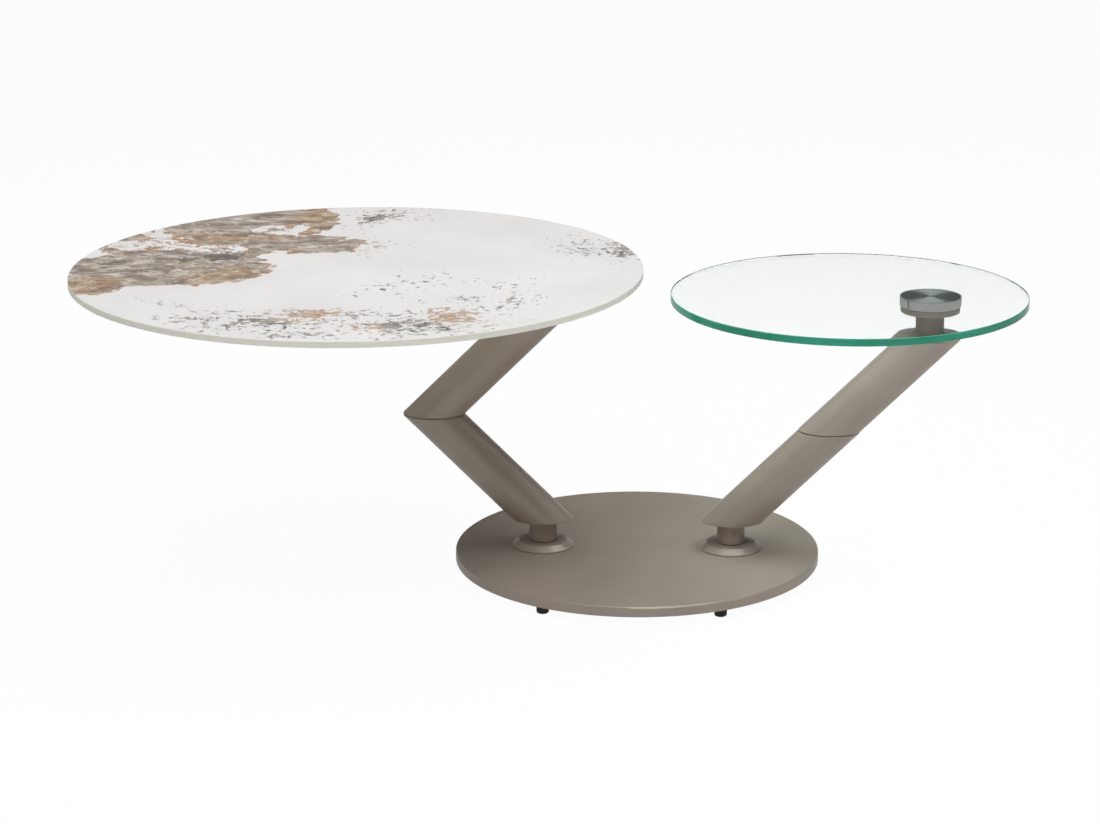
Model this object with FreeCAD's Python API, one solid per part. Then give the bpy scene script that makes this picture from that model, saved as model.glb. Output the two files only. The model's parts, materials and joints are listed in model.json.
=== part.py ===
import FreeCAD, Part
import math
import os

from FreeCAD import Vector

# Swivel coffee table: a round steel base carries two jointed arms, and each arm
# ends in a pivot that holds a round top well off its centre. Millimetres, +Z up.
# The origin is on the floor under the middle of the base, and +X runs from the
# foot of the left arm to the foot of the right arm.

# Base plate and feet
BASE_DIAMETER = 500.0
BASE_THICKNESS = 14.0
BASE_TOP_ROUND = 2.0
BASE_BOTTOM_ROUND = 1.0
FOOT_COUNT = 6
FOOT_CIRCLE_RADIUS = 235.0
FOOT_DIAMETER = 17.5
FOOT_HEIGHT = 12.0
FOOT_TAPER = 0.5
FOOT_ROUND = 2.5
FOOT_SEAT_HEIGHT = 8.0
FOOT_SCREW_DIAMETER = 4.0
FOOT_SCREW_GRIP = 9.0
FOOT_SCREW_HEAD_DIAMETER = 7.6
FOOT_SCREW_HEAD_HEIGHT = 2.4
FOOT_SCREW_HEAD_GAP = 0.4

# Arms: two slanted tubes each, cut level at both ends
ARM_SPACING = 259.0
TUBE_DIAMETER = 60.3
TUBE_WALL = 2.0
TUBE_SLOPE = 44.8
LEFT_TUBE_HEIGHT = 148.5
RIGHT_TUBE_HEIGHT = 131.0
TUBE_EDGE_ROUND = 0.8
PLUG_THICKNESS = 14.0
NECK_DIAMETER = 38.0
NECK_EDGE = 0.6
BASE_NECK_LENGTH = 29.0

# Where each tube leans at rest, in degrees from +X
LEFT_LOWER_ANGLE = 180.0
LEFT_UPPER_ANGLE = 0.0
RIGHT_LOWER_ANGLE = 0.0
RIGHT_UPPER_ANGLE = 0.0

# Collars that carry the arms on the base plate
COLLAR_DIAMETER = 84.0
COLLAR_LIP = 2.0
COLLAR_FLAT_DIAMETER = 67.0
COLLAR_HEIGHT = 8.5
COLLAR_EDGE_ROUND = 0.5
COLLAR_SPIGOT_DIAMETER = 34.0
COLLAR_SCREW_COUNT = 4
COLLAR_SCREW_CIRCLE_RADIUS = 29.0
COLLAR_SCREW_DIAMETER = 5.0
COLLAR_SCREW_HEAD_DIAMETER = 10.0
COLLAR_SCREW_GRIP = 6.0
NUT_RECESS_DIAMETER = 32.0
NUT_RECESS_DEPTH = 4.0

# Pivots: a headed pin turns in a flanged or plain bush and a flange nut keeps it in
PIN_DIAMETER = 20.0
PIN_CLEARANCE = 0.05
PIN_HEAD_DIAMETER = 28.0
PIN_HEAD_HEIGHT = 4.0
PIN_END_PLAY = 0.2
STUD_DIAMETER = 12.0
STUD_PROUD = 1.2
BUSH_WALL = 2.0
BUSH_FLANGE_DIAMETER = 36.0
BUSH_FLANGE_THICKNESS = 1.0
NUT_FLATS = 18.0
NUT_HEX_HEIGHT = 6.5
NUT_FLANGE_DIAMETER = 26.0
NUT_FLANGE_HEIGHT = 1.5
MID_WASHER_DIAMETER = 55.0
MID_WASHER_THICKNESS = 1.0
WASHER_BORE_GAP = 0.3

# Upper pivots: neck with a flange below, steel disc and band above
LEFT_TOP_NECK_LENGTH = 24.5
RIGHT_TOP_NECK_LENGTH = 30.0
TOP_SPIGOT_DIAMETER = 34.0
TOP_FLANGE_DIAMETER = 79.5
TOP_FLANGE_THICKNESS = 8.0
TOP_BUSH_LENGTH = 24.0
TOP_NECK_CAVITY_DIAMETER = 30.0
TOP_WASHER_DIAMETER = 70.0
TOP_WASHER_THICKNESS = 0.8
DISC_DIAMETER = 79.5
DISC_THICKNESS = 12.0
DISC_EDGE = 0.4
BAND_THICKNESS = 1.5
BAND_GAP = 1.4
BAND_GAP_ANGLE = -138.7
TOP_PIN_THREAD = 6.0

# Tops: round slabs held off-centre, and where their centres lie from their pivots at rest
STONE_DIAMETER = 776.0
STONE_THICKNESS = 9.0
STONE_OFFSET = 251.0
STONE_ANGLE = 180.0
GLASS_DIAMETER = 480.0
GLASS_THICKNESS = 10.0
GLASS_OFFSET = 109.0
GLASS_ANGLE = 180.0
TOP_EDGE_ARRIS = 0.8

# Hex sockets of the screws and pins, across flats and deep
FOOT_SCREW_SOCKET_WIDTH = 2.5
FOOT_SCREW_SOCKET_DEPTH = 1.4
COLLAR_SCREW_SOCKET_WIDTH = 3.0
COLLAR_SCREW_SOCKET_DEPTH = 2.0
PIN_SOCKET_WIDTH = 10.0
PIN_SOCKET_DEPTH = 2.4

HEX_SIDES = 6
LEVEL_TOLERANCE = 1e-4
CUT_MARGIN = 1.5

# Levels that both arms share, from the floor up
PLATE_BOTTOM = FOOT_HEIGHT
PLATE_TOP = PLATE_BOTTOM + BASE_THICKNESS
RECESS_TOP = PLATE_BOTTOM + NUT_RECESS_DEPTH
COLLAR_TOP = PLATE_TOP + COLLAR_HEIGHT
NECK_BOTTOM = COLLAR_TOP + BUSH_FLANGE_THICKNESS
LOWER_CUT = NECK_BOTTOM + BASE_NECK_LENGTH

BUSH_BORE_RADIUS = PIN_DIAMETER / 2 + PIN_CLEARANCE
BUSH_RADIUS = BUSH_BORE_RADIUS + BUSH_WALL
TUBE_BORE_RADIUS = TUBE_DIAMETER / 2 - TUBE_WALL


def polar(radius, degrees):
    """The level vector of this length, turned this far from +X."""
    turn = math.radians(degrees)
    return Vector(radius * math.cos(turn), radius * math.sin(turn), 0)


def turned(profile, centre):
    """A solid turned about the vertical line through centre, from (radius, height) points."""
    points = [Vector(radius, 0, height) for radius, height in profile]
    section = Part.Face(Part.makePolygon(points + points[:1]))
    solid = section.revolve(Vector(0, 0, 0), Vector(0, 0, 1), 360)
    solid.translate(Vector(centre.x, centre.y, 0))
    return solid


def disc(centre, bottom, top, radius):
    """A plain upright cylinder between two levels."""
    return Part.makeCylinder(radius, top - bottom, Vector(centre.x, centre.y, bottom))


def ring(centre, bottom, top, outer, inner):
    """An upright cylinder with a round hole through it."""
    return disc(centre, bottom, top, outer).cut(disc(centre, bottom, top, inner))


def corner_radius(flats):
    """How far a hexagon's corners lie from its centre, for a distance across its flats."""
    return flats / 2 / math.cos(math.pi / HEX_SIDES)


def hexagon(centre, bottom, top, flats):
    """An upright six-sided bar, flats apart across its sides."""
    corner = corner_radius(flats)
    points = [centre + polar(corner, 360.0 / HEX_SIDES * k) for k in range(HEX_SIDES + 1)]
    outline = Part.makePolygon([Vector(p.x, p.y, bottom) for p in points])
    return Part.Face(outline).extrude(Vector(0, 0, top - bottom))


def level_edges(solid, height, least_width):
    """The edges that lie level at this height and are at least this wide across."""
    found = []
    for edge in solid.Edges:
        box = edge.BoundBox
        at_height = max(abs(box.ZMin - height), abs(box.ZMax - height)) < LEVEL_TOLERANCE
        if at_height and max(box.XLength, box.YLength) >= least_width:
            found.append(edge)
    return found


def tube_point(start, angle, height):
    """Where a slanted tube's centre line, which begins at start, reaches this height."""
    run = (height - start.z) / math.tan(math.radians(TUBE_SLOPE))
    return start + polar(run, angle) + Vector(0, 0, height - start.z)


class ArmPlan:
    """The levels and pivot lines of one arm, from its foot up to the top that rests on it."""

    def __init__(self, side, foot, tube_height, lower_angle, upper_angle, neck_length):
        self.side = side
        self.foot = foot
        self.lower_angle = lower_angle
        self.upper_angle = upper_angle
        self.seam_bottom = LOWER_CUT + tube_height
        self.seam_top = self.seam_bottom + MID_WASHER_THICKNESS
        self.upper_cut = self.seam_top + tube_height
        self.flange_bottom = self.upper_cut + neck_length
        self.flange_top = self.flange_bottom + TOP_FLANGE_THICKNESS
        self.disc_bottom = self.flange_top + TOP_WASHER_THICKNESS
        self.rest = self.disc_bottom + DISC_THICKNESS
        self.lower_start = Vector(foot.x, foot.y, LOWER_CUT)
        self.joint = tube_point(self.lower_start, lower_angle, self.seam_bottom)
        self.upper_start = Vector(self.joint.x, self.joint.y, self.seam_top)
        self.head = tube_point(self.upper_start, upper_angle, self.upper_cut)


def slanted_bar(start, angle, bottom, top, radius):
    """A round bar along a tube's centre line, cut level at bottom and at top."""
    slope = math.radians(TUBE_SLOPE)
    along = polar(math.cos(slope), angle) + Vector(0, 0, math.sin(slope))
    overrun = CUT_MARGIN * radius / math.tan(slope)
    length = (top - bottom) / math.sin(slope) + 2 * overrun
    first = tube_point(start, angle, bottom)
    bar = Part.makeCylinder(radius, length, first - along * overrun, along)
    reach = length + 2 * radius
    slab = Part.makeBox(
        2 * reach, 2 * reach, top - bottom, Vector(first.x - reach, first.y - reach, bottom)
    )
    return bar.common(slab).Solids[0]


def slanted_tube(start, angle, bottom, top):
    """A leaning tube with level ends and eased outer rims."""
    outer = slanted_bar(start, angle, bottom, top, TUBE_DIAMETER / 2)
    rims = level_edges(outer, bottom, TUBE_DIAMETER / 2)
    rims += level_edges(outer, top, TUBE_DIAMETER / 2)
    outer = outer.makeFillet(TUBE_EDGE_ROUND, rims)
    bore = slanted_bar(start, angle, bottom, top, TUBE_BORE_RADIUS)
    return outer.cut(bore).Solids[0]


def end_plug(start, angle, bottom, top, centre, hole_radius):
    """A plug that fills the end of a slanted tube and is bored upright for a pin or spigot."""
    plug = slanted_bar(start, angle, bottom, top, TUBE_BORE_RADIUS)
    return plug.cut(disc(centre, bottom, top, hole_radius)).Solids[0]


def plain_bush(centre, bottom, top):
    """A turned bearing bush with a running fit on the pin."""
    return ring(centre, bottom, top, BUSH_RADIUS, BUSH_BORE_RADIUS)


def flanged_bush(centre, bottom, top):
    """A bearing bush whose flange lies on top of its housing."""
    flange_radius = BUSH_FLANGE_DIAMETER / 2
    profile = [
        (BUSH_BORE_RADIUS, bottom),
        (BUSH_RADIUS, bottom),
        (BUSH_RADIUS, top),
        (flange_radius, top),
        (flange_radius, top + BUSH_FLANGE_THICKNESS),
        (BUSH_BORE_RADIUS, top + BUSH_FLANGE_THICKNESS),
    ]
    return turned(profile, centre)


def nut_bottom(housing_bottom):
    """The lower face of a flange nut that closes a pivot below this housing face."""
    return housing_bottom - PIN_END_PLAY - NUT_FLANGE_HEIGHT - NUT_HEX_HEIGHT


def flange_nut(centre, housing_bottom):
    """A flange lock nut, just clear of the housing face above it."""
    flange_top = housing_bottom - PIN_END_PLAY
    flange_bottom = flange_top - NUT_FLANGE_HEIGHT
    bottom = nut_bottom(housing_bottom)
    hexagonal = hexagon(centre, bottom, flange_bottom, NUT_FLATS)
    corner = corner_radius(NUT_FLATS)
    chamfer = corner - NUT_FLATS / 2
    profile = [
        (0, bottom),
        (corner - chamfer, bottom),
        (corner, bottom + chamfer / 2),
        (corner, flange_bottom),
        (0, flange_bottom),
    ]
    envelope = turned(profile, centre)
    flange = disc(centre, flange_bottom, flange_top, NUT_FLANGE_DIAMETER / 2)
    body = hexagonal.common(envelope).fuse(flange).removeSplitter()
    return body.cut(disc(centre, bottom, flange_top, STUD_DIAMETER / 2)).Solids[0]


def pivot_pin(centre, housing_bottom, seat, head_top):
    """A headed pin: thread at its foot, journal up to seat, and a socket head above."""
    shoulder = housing_bottom - PIN_END_PLAY
    foot = nut_bottom(housing_bottom) - STUD_PROUD
    profile = [
        (0, foot),
        (STUD_DIAMETER / 2, foot),
        (STUD_DIAMETER / 2, shoulder),
        (PIN_DIAMETER / 2, shoulder),
        (PIN_DIAMETER / 2, seat),
        (PIN_HEAD_DIAMETER / 2, seat),
        (PIN_HEAD_DIAMETER / 2, head_top),
        (0, head_top),
    ]
    return turned(profile, centre)


def socketed_pin(centre, housing_bottom, seat):
    """A pivot pin whose head carries a hex socket."""
    head_top = seat + PIN_HEAD_HEIGHT
    pin = pivot_pin(centre, housing_bottom, seat, head_top)
    socket = hexagon(centre, head_top - PIN_SOCKET_DEPTH, head_top, PIN_SOCKET_WIDTH)
    return pin.cut(socket).Solids[0]


def foot_centres():
    """The middle of each rubber foot; two of them lie in line with the arms."""
    step = 360.0 / FOOT_COUNT
    return [polar(FOOT_CIRCLE_RADIUS, step * k) for k in range(FOOT_COUNT)]


def collar_screw_centres(arm_foot):
    """The screws that hold one collar, set at 45 degrees to the arms' line."""
    step = 360.0 / COLLAR_SCREW_COUNT
    return [
        arm_foot + polar(COLLAR_SCREW_CIRCLE_RADIUS, step * (k + 0.5))
        for k in range(COLLAR_SCREW_COUNT)
    ]


def foot_screw(centre):
    """A socket screw that holds a foot to the plate from below."""
    seat = FOOT_SEAT_HEIGHT
    head_bottom = seat - FOOT_SCREW_HEAD_HEIGHT
    head = disc(centre, head_bottom, seat, FOOT_SCREW_HEAD_DIAMETER / 2)
    shank = disc(centre, seat, PLATE_BOTTOM + FOOT_SCREW_GRIP, FOOT_SCREW_DIAMETER / 2)
    socket = hexagon(
        centre, head_bottom, head_bottom + FOOT_SCREW_SOCKET_DEPTH, FOOT_SCREW_SOCKET_WIDTH
    )
    return head.fuse(shank).removeSplitter().cut(socket).Solids[0]


def foot_pad(centre):
    """A moulded rubber foot, tapered and rounded, with a counterbore for its screw."""
    top_radius = FOOT_DIAMETER / 2
    bottom_radius = top_radius - FOOT_TAPER
    pad = turned([(0, 0), (bottom_radius, 0), (top_radius, FOOT_HEIGHT), (0, FOOT_HEIGHT)], centre)
    pad = pad.makeFillet(FOOT_ROUND, level_edges(pad, 0, bottom_radius))
    head_hole_radius = FOOT_SCREW_HEAD_DIAMETER / 2 + FOOT_SCREW_HEAD_GAP
    pad = pad.cut(disc(centre, 0, FOOT_SEAT_HEIGHT, head_hole_radius))
    shank_hole = disc(centre, FOOT_SEAT_HEIGHT, FOOT_HEIGHT, FOOT_SCREW_DIAMETER / 2)
    return pad.cut(shank_hole).Solids[0]


def collar_screw_blank(centre):
    """The whole space of one countersunk collar screw, without its socket."""
    head_radius = COLLAR_SCREW_HEAD_DIAMETER / 2
    shank_radius = COLLAR_SCREW_DIAMETER / 2
    head_depth = head_radius - shank_radius
    profile = [
        (0, PLATE_BOTTOM),
        (head_radius, PLATE_BOTTOM),
        (shank_radius, PLATE_BOTTOM + head_depth),
        (shank_radius, PLATE_TOP + COLLAR_SCREW_GRIP),
        (0, PLATE_TOP + COLLAR_SCREW_GRIP),
    ]
    return turned(profile, centre)


def collar_screw(centre):
    """A countersunk socket screw from under the plate into a collar."""
    socket_top = PLATE_BOTTOM + COLLAR_SCREW_SOCKET_DEPTH
    socket = hexagon(centre, PLATE_BOTTOM, socket_top, COLLAR_SCREW_SOCKET_WIDTH)
    return collar_screw_blank(centre).cut(socket).Solids[0]


def base_plate(arm_feet):
    """The heavy steel disc, bored for collars, screws and feet."""
    plate = disc(Vector(0, 0, 0), PLATE_BOTTOM, PLATE_TOP, BASE_DIAMETER / 2)
    plate = plate.makeFillet(BASE_TOP_ROUND, level_edges(plate, PLATE_TOP, BASE_DIAMETER / 2))
    plate = plate.makeFillet(
        BASE_BOTTOM_ROUND, level_edges(plate, PLATE_BOTTOM, BASE_DIAMETER / 2)
    )
    holes = []
    for arm_foot in arm_feet:
        holes.append(disc(arm_foot, PLATE_BOTTOM, PLATE_TOP, COLLAR_SPIGOT_DIAMETER / 2))
        holes.append(disc(arm_foot, PLATE_BOTTOM, RECESS_TOP, NUT_RECESS_DIAMETER / 2))
        holes += [collar_screw_blank(centre) for centre in collar_screw_centres(arm_foot)]
    for centre in foot_centres():
        holes.append(
            disc(centre, PLATE_BOTTOM, PLATE_BOTTOM + FOOT_SCREW_GRIP, FOOT_SCREW_DIAMETER / 2)
        )
    return plate.cut(holes).Solids[0]


def collar(arm_foot):
    """A flared bearing collar with a spigot down through the plate."""
    outer = COLLAR_DIAMETER / 2
    flat = COLLAR_FLAT_DIAMETER / 2
    spigot = COLLAR_SPIGOT_DIAMETER / 2
    profile = [
        (BUSH_RADIUS, RECESS_TOP),
        (spigot, RECESS_TOP),
        (spigot, PLATE_TOP),
        (outer, PLATE_TOP),
        (outer, PLATE_TOP + COLLAR_LIP),
        (flat, COLLAR_TOP),
        (BUSH_RADIUS, COLLAR_TOP),
    ]
    body = turned(profile, arm_foot)
    rims = level_edges(body, COLLAR_TOP, COLLAR_FLAT_DIAMETER / 2)
    rims += level_edges(body, PLATE_TOP + COLLAR_LIP, COLLAR_DIAMETER / 2)
    body = body.makeFillet(COLLAR_EDGE_ROUND, rims)
    screws = [collar_screw_blank(centre) for centre in collar_screw_centres(arm_foot)]
    return body.cut(screws).Solids[0]


def base_neck(arm_foot):
    """The sleeve that lifts the lower tube off its collar."""
    sleeve = ring(arm_foot, NECK_BOTTOM, LOWER_CUT, NECK_DIAMETER / 2, PIN_DIAMETER / 2)
    return sleeve.makeChamfer(NECK_EDGE, level_edges(sleeve, NECK_BOTTOM, NECK_DIAMETER))


def top_neck(plan):
    """The upper neck: spigot in the tube's plug, barrel, and the flange that a disc rides on."""
    spigot_bottom = plan.upper_cut - PLUG_THICKNESS
    bush_bottom = plan.flange_top - TOP_BUSH_LENGTH
    cavity = TOP_NECK_CAVITY_DIAMETER / 2
    profile = [
        (cavity, spigot_bottom),
        (TOP_SPIGOT_DIAMETER / 2, spigot_bottom),
        (TOP_SPIGOT_DIAMETER / 2, plan.upper_cut),
        (NECK_DIAMETER / 2, plan.upper_cut),
        (NECK_DIAMETER / 2, plan.flange_bottom),
        (TOP_FLANGE_DIAMETER / 2, plan.flange_bottom),
        (TOP_FLANGE_DIAMETER / 2, plan.flange_top),
        (BUSH_RADIUS, plan.flange_top),
        (BUSH_RADIUS, bush_bottom),
        (cavity, bush_bottom),
    ]
    neck = turned(profile, plan.head)
    return neck.makeChamfer(NECK_EDGE, level_edges(neck, plan.flange_bottom, TOP_FLANGE_DIAMETER))


def top_pin(centre, housing_bottom, disc_bottom):
    """The upper pivot pin: its head is let into the steel disc and a thread holds it there."""
    head_top = disc_bottom + PIN_HEAD_HEIGHT
    pin = pivot_pin(centre, housing_bottom, disc_bottom, head_top)
    thread = disc(centre, head_top, head_top + TOP_PIN_THREAD, STUD_DIAMETER / 2)
    return pin.fuse(thread).removeSplitter().Solids[0]


def mount_disc(centre, bottom):
    """The turned steel disc under a top, recessed below for the pin's head and thread."""
    body = disc(centre, bottom, bottom + DISC_THICKNESS, DISC_DIAMETER / 2)
    body = body.makeChamfer(DISC_EDGE, level_edges(body, bottom + DISC_THICKNESS, DISC_DIAMETER))
    head_top = bottom + PIN_HEAD_HEIGHT
    head_recess = disc(centre, bottom, head_top, PIN_HEAD_DIAMETER / 2)
    thread_hole = disc(centre, head_top, head_top + TOP_PIN_THREAD, STUD_DIAMETER / 2)
    return body.cut([head_recess, thread_hole]).Solids[0]


def mount_band(centre, bottom):
    """The bright strip rolled round the disc, with a gap where its ends meet."""
    inner = DISC_DIAMETER / 2
    outer = inner + BAND_THICKNESS
    strip = ring(centre, bottom, bottom + DISC_THICKNESS, outer, inner)
    slot = Part.makeBox(
        2 * outer, BAND_GAP, DISC_THICKNESS, Vector(centre.x, centre.y - BAND_GAP / 2, bottom)
    )
    slot.rotate(Vector(centre.x, centre.y, bottom), Vector(0, 0, 1), BAND_GAP_ANGLE)
    return strip.cut(slot).Solids[0]


def top_slab(centre, bottom, diameter, thickness):
    """A round top with a small arris on both rims."""
    slab = disc(centre, bottom, bottom + thickness, diameter / 2)
    rims = level_edges(slab, bottom, diameter) + level_edges(slab, bottom + thickness, diameter)
    return slab.makeChamfer(TOP_EDGE_ARRIS, rims)


def lower_arm(plan):
    """The lower tube of one arm with its plugs, base pivot and the mid joint's lower half."""
    side, foot, start, angle = plan.side, plan.foot, plan.lower_start, plan.lower_angle
    plug_top = LOWER_CUT + PLUG_THICKNESS
    plug_bottom = plan.seam_bottom - PLUG_THICKNESS
    washer_bore = PIN_DIAMETER / 2 + WASHER_BORE_GAP
    return {
        f"{side}_base_neck": base_neck(foot),
        f"{side}_base_pin": socketed_pin(foot, RECESS_TOP, plug_top),
        f"{side}_base_nut": flange_nut(foot, RECESS_TOP),
        f"{side}_lower_foot_plug": end_plug(
            start, angle, LOWER_CUT, plug_top, foot, PIN_DIAMETER / 2
        ),
        f"{side}_lower_tube": slanted_tube(start, angle, LOWER_CUT, plan.seam_bottom),
        f"{side}_lower_head_plug": end_plug(
            start, angle, plug_bottom, plan.seam_bottom, plan.joint, BUSH_RADIUS
        ),
        f"{side}_mid_bush": plain_bush(plan.joint, plug_bottom, plan.seam_bottom),
        f"{side}_mid_washer": ring(
            plan.joint, plan.seam_bottom, plan.seam_top, MID_WASHER_DIAMETER / 2, washer_bore
        ),
    }


def upper_arm(plan):
    """The upper tube of one arm with its plugs, mid pin and the neck of the upper pivot."""
    side, joint, start, angle = plan.side, plan.joint, plan.upper_start, plan.upper_angle
    plug_top = plan.seam_top + PLUG_THICKNESS
    plug_bottom = plan.upper_cut - PLUG_THICKNESS
    housing_bottom = plan.seam_bottom - PLUG_THICKNESS
    bush_bottom = plan.flange_top - TOP_BUSH_LENGTH
    washer_bore = PIN_DIAMETER / 2 + WASHER_BORE_GAP
    return {
        f"{side}_mid_pin": socketed_pin(joint, housing_bottom, plug_top),
        f"{side}_mid_nut": flange_nut(joint, housing_bottom),
        f"{side}_upper_foot_plug": end_plug(
            start, angle, plan.seam_top, plug_top, joint, PIN_DIAMETER / 2
        ),
        f"{side}_upper_tube": slanted_tube(start, angle, plan.seam_top, plan.upper_cut),
        f"{side}_upper_head_plug": end_plug(
            start, angle, plug_bottom, plan.upper_cut, plan.head, TOP_SPIGOT_DIAMETER / 2
        ),
        f"{side}_top_neck": top_neck(plan),
        f"{side}_top_bush": plain_bush(plan.head, bush_bottom, plan.flange_top),
        f"{side}_top_washer": ring(
            plan.head, plan.flange_top, plan.disc_bottom, TOP_WASHER_DIAMETER / 2, washer_bore
        ),
    }


def top_mount(plan):
    """What turns with a top: the steel disc, its band, and the pin and nut of the upper pivot."""
    side = plan.side
    housing_bottom = plan.flange_top - TOP_BUSH_LENGTH
    return {
        f"{side}_top_pin": top_pin(plan.head, housing_bottom, plan.disc_bottom),
        f"{side}_top_nut": flange_nut(plan.head, housing_bottom),
        f"{side}_mount_disc": mount_disc(plan.head, plan.disc_bottom),
        f"{side}_mount_band": mount_band(plan.head, plan.disc_bottom),
    }


def arm(plan):
    """One whole arm with its collar and top mount."""
    pieces = {f"{plan.side}_collar": collar(plan.foot)}
    pieces[f"{plan.side}_base_bush"] = flanged_bush(plan.foot, RECESS_TOP, COLLAR_TOP)
    pieces.update(lower_arm(plan))
    pieces.update(upper_arm(plan))
    pieces.update(top_mount(plan))
    return pieces


def build():
    """Every piece of the table, by name."""
    left = ArmPlan(
        "left",
        Vector(-ARM_SPACING / 2, 0, 0),
        LEFT_TUBE_HEIGHT,
        LEFT_LOWER_ANGLE,
        LEFT_UPPER_ANGLE,
        LEFT_TOP_NECK_LENGTH,
    )
    right = ArmPlan(
        "right",
        Vector(ARM_SPACING / 2, 0, 0),
        RIGHT_TUBE_HEIGHT,
        RIGHT_LOWER_ANGLE,
        RIGHT_UPPER_ANGLE,
        RIGHT_TOP_NECK_LENGTH,
    )
    arm_feet = [left.foot, right.foot]
    screw_centres = [c for foot in arm_feet for c in collar_screw_centres(foot)]
    pieces = {
        "base_plate": base_plate(arm_feet),
        "foot_pads": Part.makeCompound([foot_pad(c) for c in foot_centres()]),
        "foot_screws": Part.makeCompound([foot_screw(c) for c in foot_centres()]),
        "collar_screws": Part.makeCompound([collar_screw(c) for c in screw_centres]),
    }
    pieces.update(arm(left))
    pieces.update(arm(right))
    stone_centre = left.head + polar(STONE_OFFSET, STONE_ANGLE)
    glass_centre = right.head + polar(GLASS_OFFSET, GLASS_ANGLE)
    pieces["stone_top"] = top_slab(stone_centre, left.rest, STONE_DIAMETER, STONE_THICKNESS)
    pieces["glass_top"] = top_slab(glass_centre, right.rest, GLASS_DIAMETER, GLASS_THICKNESS)
    print("left joint", left.joint, "head", left.head, "rest", left.rest)
    print("right joint", right.joint, "head", right.head, "rest", right.rest)
    print("stone centre", stone_centre, "glass centre", glass_centre)
    return pieces


os.makedirs("parts", exist_ok=True)
for name, shape in build().items():
    shape.exportStep(os.path.join("parts", name + ".step"))
    volume = shape.Volume / 1000
    print(f"{name}: {len(shape.Solids)} solid(s), {volume:.2f} cm3, valid {shape.isValid()}")
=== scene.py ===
import json
import math

import bmesh
import bpy
from mathutils import Euler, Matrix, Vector


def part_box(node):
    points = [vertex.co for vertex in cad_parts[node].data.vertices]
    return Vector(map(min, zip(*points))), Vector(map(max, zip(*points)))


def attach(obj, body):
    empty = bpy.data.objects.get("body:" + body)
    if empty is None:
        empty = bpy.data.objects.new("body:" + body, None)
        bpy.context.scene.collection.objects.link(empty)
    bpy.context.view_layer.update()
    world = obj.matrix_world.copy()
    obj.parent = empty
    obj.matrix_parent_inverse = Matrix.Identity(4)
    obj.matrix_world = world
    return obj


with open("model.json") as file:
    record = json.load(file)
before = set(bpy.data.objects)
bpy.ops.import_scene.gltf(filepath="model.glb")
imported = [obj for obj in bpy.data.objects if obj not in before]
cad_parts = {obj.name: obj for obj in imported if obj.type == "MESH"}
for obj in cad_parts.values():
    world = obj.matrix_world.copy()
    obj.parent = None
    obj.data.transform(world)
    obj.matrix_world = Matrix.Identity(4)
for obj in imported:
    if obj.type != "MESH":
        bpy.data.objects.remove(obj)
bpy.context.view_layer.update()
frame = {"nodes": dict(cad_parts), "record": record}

# The swivel coffee table's finishes, camera and studio light, in metres.
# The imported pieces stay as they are. One piece is added: the turned face of the
# right steel disc, a thin sheet just inside the glass that it is bonded to.

NODES = frame["nodes"]
SLOT_OF = {row["node"]: row["material_slot"] for row in frame["record"]["subparts"]}

# The room's strengths, where 1 is white: on matt surfaces, to the camera, and as
# metal and glass see it overhead
WORLD_LIGHT = 0.01
BACKDROP = 0.975
CEILING = 0.04
# Between these heights of a direction of length 1, white turns to the ceiling
HORIZON_LOW = 0.05
HORIZON_HIGH = 0.19

# The floor: half its side, the share of light it gives back, how much of what is
# seen of it is its own glow, and that glow's strengths to metal and through glass
FLOOR_HALF = 30.0
FLOOR_BOUNCE = 0.9
FLOOR_GLOW_SHARE = 0.965
FLOOR_IN_SHEEN = 0.6
THROUGH_GLASS = 1.68

# Camera: solved from the photograph, angles in radians, sensor and lens in mm
CAMERA_PLACE = (0.1276, -3.9645, 1.3681)
CAMERA_DOWN = 0.2820
CAMERA_YAW = 0.0622
CAMERA_ROLL = -0.0045
CAMERA_REACH = 100.0
SENSOR_WIDTH = 36.0
LENS = 98.95

STONE_LOW, STONE_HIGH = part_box("stone_top")
STONE_CENTRE = (STONE_LOW + STONE_HIGH) / 2
STONE_RADIUS = (STONE_HIGH.x - STONE_LOW.x) / 2
# How far below the top face the marks reach
STONE_MARK_DEPTH = 0.0003

GLASS_LOW, GLASS_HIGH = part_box("glass_top")
GLASS_CENTRE = (GLASS_LOW + GLASS_HIGH) / 2
GLASS_RADIUS = (GLASS_HIGH.x - GLASS_LOW.x) / 2
# How far in from the rim the edge's colour reaches, how far below the top face its
# grey inner line of painted shade reaches, and the share of light that the edge lets through
EDGE_WIDTH = 0.0012
PAINTED_SHADE_LINE_DEPTH = 0.0065
EDGE_CLEARNESS = 0.25

# The turned face: how far inside the disc's rim it ends, how far above the disc it
# lies, and the sides of its outline
FACE_SHORT = 0.0004
FACE_LIFT = 0.00004
FACE_SIDES = 128

# Noise mostly stays between these values, about a middle
NOISE_LOW = 0.3
NOISE_HIGH = 0.7
NOISE_MIDDLE = (0.5, 0.5, 0.5)

# Heights of the finishes' bumps
FINE_GRAIN = 0.00002
COARSE_GRAIN = 0.00004

# The fleck's share of the paint's shade, and how far bare metal's roughness varies
FLECK_SHARE = 0.6
ROUGHNESS_PLAY = 0.04

# How finely each axis is drawn: steel's marks are flat and long, and glass's
# streaks lie level
STEEL_MARKS = (300.0, 300.0, 3000.0)
GLASS_STREAKS = (1.0, 1.0, 4.0)
FLATTEN = (1.0, 1.0, 0.0)

WHITE = (1.0, 1.0, 1.0, 1.0)
LAMP_THROUGH_GLASS = (0.80, 0.89, 0.86, 1.0)
GLASS_GREEN = (0.13, 0.59, 0.47, 1.0)


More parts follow.
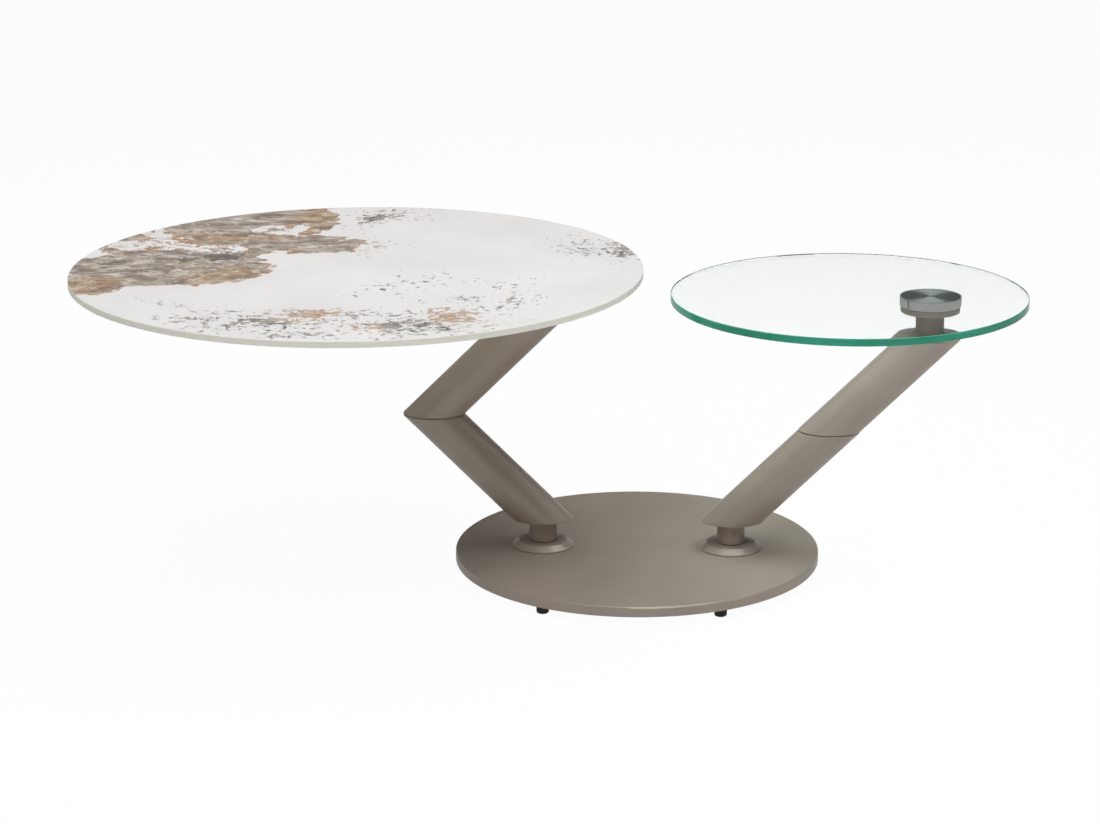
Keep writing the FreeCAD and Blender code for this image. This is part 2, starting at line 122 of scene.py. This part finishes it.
def linear(red, green, blue):
    """A display colour, 0 to 255, as the linear colour that shaders take."""
    def channel(value):
        share = value / 255
        if share <= 0.04045:
            return share / 12.92
        return ((share + 0.055) / 1.055) ** 2.4
    return (channel(red), channel(green), channel(blue), 1.0)


class Nodes:
    """A node tree. Every input takes a plain value or another node's socket."""

    def __init__(self, tree):
        self.tree = tree
        tree.nodes.clear()

    def feed(self, socket, value):
        if isinstance(value, bpy.types.NodeSocket):
            self.tree.links.new(value, socket)
        else:
            socket.default_value = value

    def add(self, kind, inputs=None, **settings):
        node = self.tree.nodes.new(kind)
        for name, value in settings.items():
            setattr(node, name, value)
        for name, value in (inputs or {}).items():
            self.feed(node.inputs[name], value)
        return node

    def math(self, operation, first, second=0.0):
        return self.add("ShaderNodeMath", {0: first, 1: second}, operation=operation).outputs[0]

    def vector(self, operation, first, second=(0.0, 0.0, 0.0)):
        node = self.add("ShaderNodeVectorMath", {0: first, 1: second}, operation=operation)
        return node.outputs["Value" if operation == "LENGTH" else "Vector"]

    def scaled(self, vector, factor):
        node = self.add("ShaderNodeVectorMath", {0: vector, "Scale": factor}, operation="SCALE")
        return node.outputs["Vector"]

    def upward(self, vector):
        return self.add("ShaderNodeSeparateXYZ", {0: vector}).outputs["Z"]

    def span(self, value, low, high, to_low=0.0, to_high=1.0, smooth=False):
        """The value's range from low to high, stretched to another, and held at its ends."""
        kind = "SMOOTHSTEP" if smooth else "LINEAR"
        inputs = {0: value, 1: low, 2: high, 3: to_low, 4: to_high}
        return self.add("ShaderNodeMapRange", inputs, interpolation_type=kind).outputs[0]

    def choose(self, flag, usual, special):
        """The usual value where the flag is 0, and the special one where it is 1."""
        return self.span(flag, 0.0, 1.0, usual, special)


class Finish(Nodes):
    """One material and its nodes."""

    def __init__(self, name):
        self.material = bpy.data.materials.new(name)
        self.material.use_nodes = True
        super().__init__(self.material.node_tree)
        self.output = self.add("ShaderNodeOutputMaterial")

    def place(self):
        return self.add("ShaderNodeTexCoord").outputs["Object"]

    def from_axis(self, centre):
        """How far a point lies from the upright axis through the centre."""
        across = self.vector("SUBTRACT", self.place(), (centre.x, centre.y, 0.0))
        return self.vector("LENGTH", self.vector("MULTIPLY", across, FLATTEN))

    def noise(self, vector, scale, detail=4.0, roughness=0.5, colour=False):
        inputs = {"Vector": vector, "Scale": scale, "Detail": detail, "Roughness": roughness}
        node = self.add("ShaderNodeTexNoise", inputs)
        return node.outputs["Color" if colour else "Fac"]

    def ramp(self, value, stops):
        node = self.add("ShaderNodeValToRGB", {"Fac": value})
        elements = node.color_ramp.elements
        while len(elements) < len(stops):
            elements.new(0.5)
        for element, (place, colour) in zip(elements, stops):
            element.position = place
            element.color = colour
        return node.outputs["Color"]

    def shades(self, noise, dark, light):
        """Noise as shades between two colours."""
        return self.ramp(noise, [(NOISE_LOW, dark), (NOISE_HIGH, light)])

    def spread(self, noise, low, high):
        """Noise as values from low to high."""
        return self.span(noise, NOISE_LOW, NOISE_HIGH, low, high)

    def mix(self, share, first, second):
        node = self.add("ShaderNodeMix", {0: share, 6: first, 7: second}, data_type="RGBA")
        return node.outputs[2]

    def bump(self, height, distance, strength):
        inputs = {"Height": height, "Distance": distance, "Strength": strength}
        return self.add("ShaderNodeBump", inputs).outputs["Normal"]

    def show(self, shader):
        self.feed(self.output.inputs["Surface"], shader.outputs[0])

    def surface(self, **inputs):
        """The Principled shader with these inputs, joined to the output."""
        named = {name.replace("_", " "): value for name, value in inputs.items()}
        shader = self.add("ShaderNodeBsdfPrincipled", named)
        self.show(shader)
        return shader

    def blend(self, share, first, second):
        """One shader, and another by this share, joined to the output."""
        inputs = {0: share, 1: first.outputs[0], 2: second.outputs[0]}
        self.show(self.add("ShaderNodeMixShader", inputs))


# --- finishes -------------------------------------------------------------------


def taupe_paint():
    """Satin taupe powder coat with a fine metallic fleck and a faint orange peel."""
    f = Finish("taupe_paint")
    place = f.place()
    fleck = f.noise(place, scale=1500.0, detail=2.0)
    cloud = f.noise(place, scale=14.0, detail=3.0)
    flecked = f.math("MULTIPLY", fleck, FLECK_SHARE)
    clouded = f.math("MULTIPLY", cloud, 1.0 - FLECK_SHARE)
    shade = f.math("ADD", flecked, clouded)
    peel = f.noise(place, scale=700.0, detail=1.0)
    f.surface(
        Base_Color=f.shades(shade, linear(159, 146, 135), linear(176, 163, 152)),
        Metallic=0.25,
        Roughness=f.spread(fleck, 0.32, 0.42),
        Normal=f.bump(peel, FINE_GRAIN, strength=0.5),
    )
    return f.material


def steel(name, dark, light, roughness, anisotropic=0.0, tangent=None):
    """Bare metal whose fine marks vary its shade between two colours."""
    f = Finish(name)
    marks = f.noise(f.vector("MULTIPLY", f.place(), STEEL_MARKS), scale=1.0, detail=3.0)
    inputs = {"Tangent": tangent(f)} if tangent else {}
    f.surface(
        Base_Color=f.shades(marks, dark, light),
        Metallic=1.0,
        Roughness=f.spread(marks, roughness - ROUGHNESS_PLAY, roughness + ROUGHNESS_PLAY),
        Anisotropic=anisotropic,
        **inputs,
    )
    return f.material


def round_tangent(f):
    """The direction round the upright axis through the middle of a piece."""
    return f.add("ShaderNodeTangent", direction_type="RADIAL", axis="Z").outputs["Tangent"]


def turned_steel(centre):
    """Face-turned steel: fine rings round its centre stretch the light into two fans."""
    f = Finish("turned_steel")
    outward = f.add("ShaderNodeCombineXYZ", {0: f.from_axis(centre)}).outputs[0]
    rings = f.noise(outward, scale=2600.0, detail=2.0)
    f.surface(
        Base_Color=f.shades(rings, linear(150, 154, 154), linear(186, 190, 190)),
        Metallic=1.0,
        Roughness=f.spread(rings, 0.30, 0.36),
        Anisotropic=0.95,
        Anisotropic_Rotation=0.25,
        Tangent=round_tangent(f),
        Normal=f.bump(rings, FINE_GRAIN, strength=0.6),
    )
    return f.material


def washer_plastic():
    f = Finish("washer_plastic")
    grain = f.noise(f.place(), scale=900.0, detail=2.0)
    f.surface(
        Base_Color=f.shades(grain, linear(24, 20, 18), linear(38, 32, 29)),
        Roughness=0.55,
        Normal=f.bump(grain, FINE_GRAIN, strength=0.4),
    )
    return f.material


def foot_rubber():
    f = Finish("foot_rubber")
    grain = f.noise(f.place(), scale=1200.0, detail=3.0)
    f.surface(
        Base_Color=f.shades(grain, linear(30, 28, 26), linear(44, 41, 38)),
        Roughness=f.spread(grain, 0.55, 0.75),
        Normal=f.bump(grain, COARSE_GRAIN, strength=0.5),
    )
    return f.material


def glass():
    """Clear float glass with a green edge, whose inner side has a thin grey line of painted
    shade, where the far rim looks dark through the glass.
    """
    f = Finish("glass")
    place = f.place()
    edge = f.math("GREATER_THAN", f.from_axis(GLASS_CENTRE), GLASS_RADIUS - EDGE_WIDTH)
    streaks = f.noise(f.vector("MULTIPLY", place, GLASS_STREAKS), scale=9.0, detail=2.0)
    green = f.shades(streaks, linear(30, 168, 132), linear(64, 196, 162))
    inner_side = f.add("ShaderNodeNewGeometry").outputs["Backfacing"]
    # The inner side's top band is painted grey: painted shade for the far rim, which looks dark
    # through the glass
    painted_shade_line = f.math("GREATER_THAN", f.upward(place), GLASS_HIGH.z - PAINTED_SHADE_LINE_DEPTH)
    shade = f.mix(inner_side, green, linear(96, 108, 104))
    shown = f.math("MULTIPLY", edge, f.choose(inner_side, 1.0, painted_shade_line))
    body = f.surface(
        Base_Color=f.mix(shown, WHITE, shade),
        Roughness=0.0,
        IOR=1.5,
        Transmission_Weight=f.choose(shown, 1.0, EDGE_CLEARNESS),
    )
    lamp_ray = f.add("ShaderNodeLightPath").outputs["Is Shadow Ray"]
    tinted = f.add("ShaderNodeBsdfTransparent", {"Color": LAMP_THROUGH_GLASS})
    f.blend(lamp_ray, body, tinted)
    inside = f.add("ShaderNodeVolumeAbsorption", {"Color": GLASS_GREEN, "Density": 4.0})
    f.feed(f.output.inputs["Volume"], inside.outputs[0])
    return f.material


# The stone's marks, on a face whose radius is 1: centre, radii and turn of each oval
PATCH_OVALS = [
    ((-0.67, -0.01), (0.37, 0.29), 0.0),
    ((-0.87, -0.25), (0.11, 0.16), 0.0),
    ((-0.64, 0.36), (0.36, 0.30), 0.0),
    ((-0.20, 0.36), (0.18, 0.14), 0.0),
    ((-0.61, 0.74), (0.38, 0.34), 0.0),
    ((-0.25, 0.75), (0.08, 0.25), 0.0),
]
ISLAND_OVALS = [
    ((-0.36, 0.60), (0.11, 0.08), 20.0),
    ((-0.54, 0.28), (0.13, 0.055), 5.0),
    ((-0.80, 0.33), (0.16, 0.08), 0.0),
    ((-0.78, 0.50), (0.12, 0.06), -35.0),
]
BROWN_OVALS = [
    ((-0.25, 0.80), (0.07, 0.24), 0.0),
    ((-0.87, -0.27), (0.12, 0.14), 0.0),
    ((-0.45, -0.12), (0.14, 0.09), 40.0),
    ((-0.62, 0.46), (0.30, 0.08), 0.0),
]
STREAK_OVALS = [
    ((-0.50, 0.15), (0.14, 0.05), 15.0),
    ((-0.60, 0.10), (0.05, 0.05), 0.0),
    ((-0.87, 0.04), (0.04, 0.04), 0.0),
]
FLECK_OVALS = [
    ((0.02, -0.77), (0.66, 0.22), 0.0),
    ((0.34, -0.42), (0.36, 0.34), -30.0),
    ((0.00, 0.80), (0.16, 0.30), 0.0),
    ((0.16, 0.84), (0.07, 0.20), 0.0),
    ((0.83, 0.36), (0.22, 0.22), 0.0),
    ((0.02, 0.34), (0.14, 0.20), 0.0),
    ((-0.48, -0.62), (0.30, 0.06), -30.0),
    ((-0.62, 0.34), (0.36, 0.16), 0.0),
]
BARE_OVALS = [
    ((0.36, -0.34), (0.12, 0.10), 0.0),
    ((0.10, -0.50), (0.12, 0.06), 0.0),
    ((0.08, 0.62), (0.05, 0.10), 0.0),
]
CLUMP_OVALS = [
    ((-0.10, -0.64), (0.12, 0.07), 0.0),
    ((0.04, -0.60), (0.07, 0.06), 0.0),
    ((-0.20, -0.77), (0.09, 0.06), 0.0),
    ((0.26, -0.82), (0.12, 0.09), 0.0),
    ((0.42, -0.67), (0.12, 0.06), -35.0),
    ((0.43, -0.43), (0.07, 0.07), 0.0),
    ((-0.01, 0.80), (0.08, 0.06), 0.0),
    ((-0.03, 0.95), (0.05, 0.03), 0.0),
    ((0.92, 0.33), (0.06, 0.10), 0.0),
]
RUST_OVALS = [
    ((-0.11, -0.64), (0.16, 0.11), 0.0),
    ((0.40, -0.66), (0.18, 0.10), -35.0),
    ((-0.03, 0.30), (0.10, 0.12), 0.0),
    ((0.12, 0.70), (0.08, 0.14), 0.0),
    ((0.10, -0.86), (0.10, 0.06), 0.0),
    ((-0.70, 0.36), (0.24, 0.12), 0.0),
]

# The stone's colours, by how high the noise or the tone stands
CHIP_COLOURS = [
    (0.10, linear(90, 87, 84)),
    (0.30, linear(130, 126, 122)),
    (0.55, linear(164, 155, 146)),
    (0.68, linear(190, 174, 157)),
    (0.80, linear(192, 160, 132)),
    (0.95, linear(164, 124, 90)),
]
GREY_COLOURS = [
    (0.34, linear(92, 84, 77)),
    (0.45, linear(138, 128, 119)),
    (0.52, linear(170, 159, 148)),
    (0.58, linear(192, 183, 172)),
    (0.66, linear(226, 220, 211)),
]
BROWN_COLOURS = [
    (0.34, linear(104, 82, 62)),
    (0.46, linear(150, 125, 100)),
    (0.56, linear(182, 160, 136)),
    (0.66, linear(216, 203, 185)),
]
GROUND_COLOURS = [
    (0.35, linear(222, 220, 219)),
    (0.65, linear(229, 228, 226)),
]
PALE_SHARD = linear(216, 209, 200)
DARK_SHARD = linear(116, 108, 101)
STREAK_GREY = linear(84, 82, 81)
RUST_RIM = linear(172, 126, 88)
# The edge's own body colour, lifted lighter than it is: painted light on the upright edge
STONE_EDGE_AND_PAINTED_LIGHT = linear(250, 248, 237)

# How much noise lies between no cover and full cover at the edge of a chip or shard
CRISP = 0.02
SHARD_CRISP = 0.03
# A chip's tone: the scale of its noise as a share of the chips' own, the range that
# is used of it, and how far it climbs the chip colours by itself
TONE_SCALE = 0.7
TONE_LOW = 0.34
TONE_HIGH = 0.66
TONE_CLIMB = 0.75
# The patch's grain runs along X
PATCH_GRAIN = (1.0, 1.4, 1.0)
# Depth stops here inside the patch, where its rusty rim has ended, and inside an
# island in it, which stays half covered
PATCH_DEPTH = 0.025
ISLAND_DEPTH = 0.003


def ovals(f, place, shapes):
    """How deep a point lies inside the nearest of these ovals: over 0 inside, under 0 outside."""
    deepest = None
    for centre, radii, turn in shapes:
        inputs = {
            "Vector": place,
            "Location": (centre[0], centre[1], 0.0),
            "Rotation": (0.0, 0.0, math.radians(turn)),
            "Scale": (radii[0], radii[1], 1.0),
        }
        local = f.add("ShaderNodeMapping", inputs, vector_type="TEXTURE").outputs[0]
        depth = f.math("SUBTRACT", 1.0, f.vector("LENGTH", local))
        depth = f.math("MULTIPLY", depth, (radii[0] + radii[1]) / 2)
        deepest = depth if deepest is None else f.math("MAXIMUM", deepest, depth)
    return deepest


def outside(f, place, shapes):
    """How far a point lies outside all of these ovals: under 0 inside."""
    return f.math("MULTIPLY", ovals(f, place, shapes), -1.0)


def warped(f, place, scale, reach):
    """The place pushed about by noise, by up to half of reach."""
    push = f.noise(place, scale, detail=5.0, colour=True)
    push = f.vector("SUBTRACT", push, NOISE_MIDDLE)
    return f.vector("ADD", place, f.vector("MULTIPLY", push, (reach, reach, 0.0)))


def above(f, crumbs, threshold):
    """Full cover where the crumbs stand above the threshold, with a crisp edge."""
    return f.span(f.math("SUBTRACT", crumbs, threshold), 0.0, CRISP)


def broken(f, depth, crumbs, soft, sparse, full):
    """Cover that crumbles across the edge of a shape: its threshold falls from sparse to full."""
    return above(f, crumbs, f.span(depth, -soft, soft, sparse, full))


def fleck_layer(f, face, flat, scale, threshold, rust):
    """The face with chips of one scale over it: dark, grey, tan, and rust where rust is high."""
    crumbs = f.noise(warped(f, flat, scale, reach=1.2 / scale), scale, detail=7.0, roughness=0.66)
    tone = f.noise(flat, TONE_SCALE * scale, detail=5.0, roughness=0.7)
    tone = f.span(tone, TONE_LOW, TONE_HIGH)
    tone = f.math("ADD", f.math("MULTIPLY", tone, TONE_CLIMB), rust)
    return f.mix(above(f, crumbs, threshold), face, f.ramp(tone, CHIP_COLOURS))


def shards(f, colour, flat, scale, least, shade, share):
    """The colour with crisp angular blotches of one shade over it."""
    crumbs = f.noise(warped(f, flat, scale, reach=1.0 / scale), scale, detail=9.0, roughness=0.70)
    cover = f.math("MULTIPLY", f.span(crumbs, least, least + SHARD_CRISP), share)
    return f.mix(cover, colour, shade)


def patch_colour(f, flat, depth):
    """Blotches of grey and beige, brown in places, with dark streaks and a thin rusty rim."""
    stretched = f.vector("MULTIPLY", flat, PATCH_GRAIN)
    ragged = warped(f, flat, scale=8.0, reach=0.20)

    blotch = warped(f, stretched, scale=5.0, reach=0.10)
    blotch = f.noise(blotch, scale=8.0, detail=12.0, roughness=0.76)
    drift = f.noise(flat, scale=4.0, detail=7.0, roughness=0.65)
    drift = f.span(drift, 0.46, 0.66, to_high=0.4)
    browned = f.span(ovals(f, ragged, BROWN_OVALS), -0.05, 0.05)
    browned = f.math("MAXIMUM", drift, browned)
    colour = f.mix(browned, f.ramp(blotch, GREY_COLOURS), f.ramp(blotch, BROWN_COLOURS))

    mirrored = f.scaled(stretched, -1.0)
    colour = shards(f, colour, stretched, scale=14.0, least=0.54, shade=PALE_SHARD, share=0.6)
    colour = shards(f, colour, mirrored, scale=12.0, least=0.56, shade=DARK_SHARD, share=0.65)

    crumbs = f.noise(flat, scale=20.0, detail=8.0, roughness=0.72)
    streak = ovals(f, ragged, STREAK_OVALS)
    streak = broken(f, streak, crumbs, soft=0.05, sparse=0.66, full=0.44)
    colour = f.mix(f.math("MULTIPLY", streak, 0.75), colour, STREAK_GREY)

    rusty = f.span(f.noise(flat, scale=7.0, detail=6.0, roughness=0.6), 0.40, 0.54)
    rust = f.math("MULTIPLY", f.span(depth, PATCH_DEPTH, 0.0), rusty)
    return f.mix(f.math("MULTIPLY", rust, 0.85), colour, RUST_RIM)


def stone():
    """Honed white stone: one broken grey and brown patch, and drifts of dark and rusty chips."""
    f = Finish("stone")
    middle = (STONE_CENTRE.x, STONE_CENTRE.y, STONE_HIGH.z)
    place = f.scaled(f.vector("SUBTRACT", f.place(), middle), 1 / STONE_RADIUS)
    flat = f.vector("MULTIPLY", place, FLATTEN)
    ragged = warped(f, warped(f, flat, scale=3.0, reach=0.14), scale=12.0, reach=0.10)

    crumbs = f.noise(flat, scale=16.0, detail=10.0, roughness=0.72)
    inner = f.math("MINIMUM", ovals(f, ragged, PATCH_OVALS), PATCH_DEPTH)
    islands = f.math("MAXIMUM", outside(f, ragged, ISLAND_OVALS), -ISLAND_DEPTH)
    depth = f.math("MINIMUM", inner, islands)
    patch = broken(f, depth, crumbs, soft=0.05, sparse=0.85, full=0.15)

    inside = ovals(f, ragged, FLECK_OVALS)
    inside = f.math("MINIMUM", inside, outside(f, ragged, BARE_OVALS))
    sown = f.span(inside, -0.08, 0.12, to_low=0.68, to_high=0.545)
    clump = f.span(ovals(f, ragged, CLUMP_OVALS), -0.04, 0.05, to_high=0.08)
    drift = f.noise(flat, scale=9.0, detail=5.0, roughness=0.6)
    drift = f.span(drift, NOISE_LOW, NOISE_HIGH, to_low=0.06, to_high=-0.06)
    threshold = f.math("ADD", f.math("SUBTRACT", sown, clump), drift)
    sparser = f.math("ADD", threshold, 0.04)
    rust = f.span(ovals(f, ragged, RUST_OVALS), -0.05, 0.03, to_high=0.35)

    face = f.ramp(f.noise(flat, scale=2.2, detail=4.0, roughness=0.5), GROUND_COLOURS)
    face = fleck_layer(f, face, flat, 34.0, threshold, rust)
    face = fleck_layer(f, face, f.scaled(flat, -1.0), 17.0, sparser, rust)
    face = f.mix(patch, face, patch_colour(f, flat, depth))
    # Below the top face the edge takes its body colour, lifted lighter as painted light
    on_top = f.math("GREATER_THAN", f.upward(place), -STONE_MARK_DEPTH / STONE_RADIUS)
    f.surface(Base_Color=f.mix(on_top, STONE_EDGE_AND_PAINTED_LIGHT, face), Roughness=0.42)
    return f.material


# --- studio ---------------------------------------------------------------------


def aim_camera():
    camera = bpy.data.objects.new("camera", bpy.data.cameras.new("camera"))
    bpy.context.scene.collection.objects.link(camera)
    camera.data.sensor_width = SENSOR_WIDTH
    camera.data.lens = LENS
    camera.data.clip_end = CAMERA_REACH
    camera.location = CAMERA_PLACE
    turn = Euler((0, 0, CAMERA_YAW)).to_matrix()
    turn = turn @ Euler((math.pi / 2 - CAMERA_DOWN, 0, 0)).to_matrix()
    turn = turn @ Euler((0, 0, CAMERA_ROLL)).to_matrix()
    camera.rotation_euler = turn.to_euler()
    bpy.context.scene.camera = camera


def soft_box(name, place, target, size, watts):
    """A rectangular studio lamp that points at target."""
    lamp = bpy.data.objects.new(name, bpy.data.lights.new(name, "AREA"))
    bpy.context.scene.collection.objects.link(lamp)
    lamp.data.shape = "RECTANGLE"
    lamp.data.size, lamp.data.size_y = size
    lamp.data.energy = watts
    lamp.location = place
    lamp.rotation_euler = (Vector(target) - Vector(place)).to_track_quat("-Z", "Y").to_euler()


def light_studio():
    """One broad soft box overhead, one over each side, and two in front."""
    soft_box("overhead", (0.3, 0.6, 3.6), (0.1, 0.0, 0.3), size=(4.0, 3.0), watts=95.0)
    soft_box("over_left", (-1.6, 0.3, 2.8), (0.0, 0.0, 0.2), size=(1.6, 1.6), watts=13.0)
    soft_box("over_right", (1.6, 0.3, 2.8), (0.2, 0.0, 0.2), size=(1.6, 1.6), watts=11.0)
    soft_box("front_top", (0.5, -1.9, 3.2), (0.1, 0.0, 0.2), size=(2.2, 1.2), watts=34.0)
    soft_box("front_left", (-1.2, -1.8, 2.6), (0.3, -0.1, 0.3), size=(1.2, 1.2), watts=17.0)


def light_world():
    """White to the camera; to metal and glass, white at the horizon under a dim ceiling."""
    world = bpy.data.worlds.new("studio")
    bpy.context.scene.world = world
    world.use_nodes = True
    w = Nodes(world.node_tree)
    height = w.upward(w.add("ShaderNodeTexCoord").outputs["Generated"])
    room = w.span(height, HORIZON_LOW, HORIZON_HIGH, to_low=1.0, to_high=CEILING, smooth=True)
    path = w.add("ShaderNodeLightPath").outputs
    mirrored = w.math("MAXIMUM", path["Is Glossy Ray"], path["Is Transmission Ray"])
    unseen = w.choose(mirrored, WORLD_LIGHT, room)
    strength = w.choose(path["Is Camera Ray"], unseen, BACKDROP)
    white = w.add("ShaderNodeBackground", {"Color": WHITE, "Strength": strength})
    w.add("ShaderNodeOutputWorld", {"Surface": white.outputs[0]})


def lay_floor():
    """A white floor that keeps the table's shadow and melts into the backdrop."""
    mesh = bpy.data.meshes.new("floor")
    signs = [(-1, -1), (1, -1), (1, 1), (-1, 1)]
    corners = [(x * FLOOR_HALF, y * FLOOR_HALF, 0) for x, y in signs]
    mesh.from_pydata(corners, [], [(0, 1, 2, 3)])
    floor = bpy.data.objects.new("floor", mesh)
    bpy.context.scene.collection.objects.link(floor)
    f = Finish("floor_white")
    given_back = (FLOOR_BOUNCE, FLOOR_BOUNCE, FLOOR_BOUNCE, 1.0)
    matt = f.add("ShaderNodeBsdfDiffuse", {"Color": given_back})
    path = f.add("ShaderNodeLightPath").outputs
    sheen = f.choose(path["Is Glossy Ray"], 1.0, FLOOR_IN_SHEEN)
    strength = f.choose(path["Is Transmission Ray"], sheen, THROUGH_GLASS)
    glow = f.add("ShaderNodeEmission", {"Color": WHITE, "Strength": strength})
    seen = f.math("MAXIMUM", path["Is Camera Ray"], path["Is Glossy Ray"])
    seen = f.math("MAXIMUM", seen, path["Is Transmission Ray"])
    f.blend(f.math("MULTIPLY", seen, FLOOR_GLOW_SHARE), matt, glow)
    mesh.materials.append(f.material)


# --- the table --------------------------------------------------------------------


def plain_finishes():
    """The finishes by slot, but for the turned steel, which is made round each disc."""
    bright = (linear(224, 226, 222), linear(243, 244, 240))
    zinc = (linear(150, 152, 150), linear(188, 188, 184))
    # The bronze is partly its own dark oiled brown and partly painted shade, darkened for the
    # bush that shows between neck and collar
    bronze_and_shade = (linear(92, 74, 54), linear(118, 96, 70))
    return {
        "taupe_paint": taupe_paint(),
        "stone": stone(),
        "glass": glass(),
        "bright_band": steel("bright_band", *bright, 0.24, 0.5, round_tangent),
        "fastener_steel": steel("fastener_steel", *zinc, 0.30),
        "bearing_bronze": steel("bearing_bronze", *bronze_and_shade, 0.40),
        "washer_plastic": washer_plastic(),
        "foot_rubber": foot_rubber(),
    }


def dress():
    """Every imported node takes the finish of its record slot."""
    finishes = plain_finishes()
    for name, node in NODES.items():
        slot = SLOT_OF[name]
        if slot == "turned_steel":
            low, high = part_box(name)
            finish = turned_steel((low + high) / 2)
        else:
            finish = finishes[slot]
        node.data.materials.clear()
        node.data.materials.append(finish)


def turned_face():
    """The face of the right disc that is bonded to the glass, just inside the glass."""
    low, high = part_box("right_mount_disc")
    centre = (low + high) / 2
    radius = (high.x - low.x) / 2 - FACE_SHORT
    mesh = bmesh.new()
    bmesh.ops.create_circle(mesh, cap_ends=True, segments=FACE_SIDES, radius=radius)
    for vertex in mesh.verts:
        vertex.co += Vector((centre.x, centre.y, high.z + FACE_LIFT))
    data = bpy.data.meshes.new("right_turned_face")
    mesh.to_mesh(data)
    mesh.free()
    piece = bpy.data.objects.new("right_turned_face", data)
    bpy.context.scene.collection.objects.link(piece)
    data.materials.append(turned_steel(centre))
    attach(piece, "right_top")


bpy.context.scene.view_settings.view_transform = "Standard"
aim_camera()
light_world()
light_studio()
lay_floor()
dress()
turned_face()
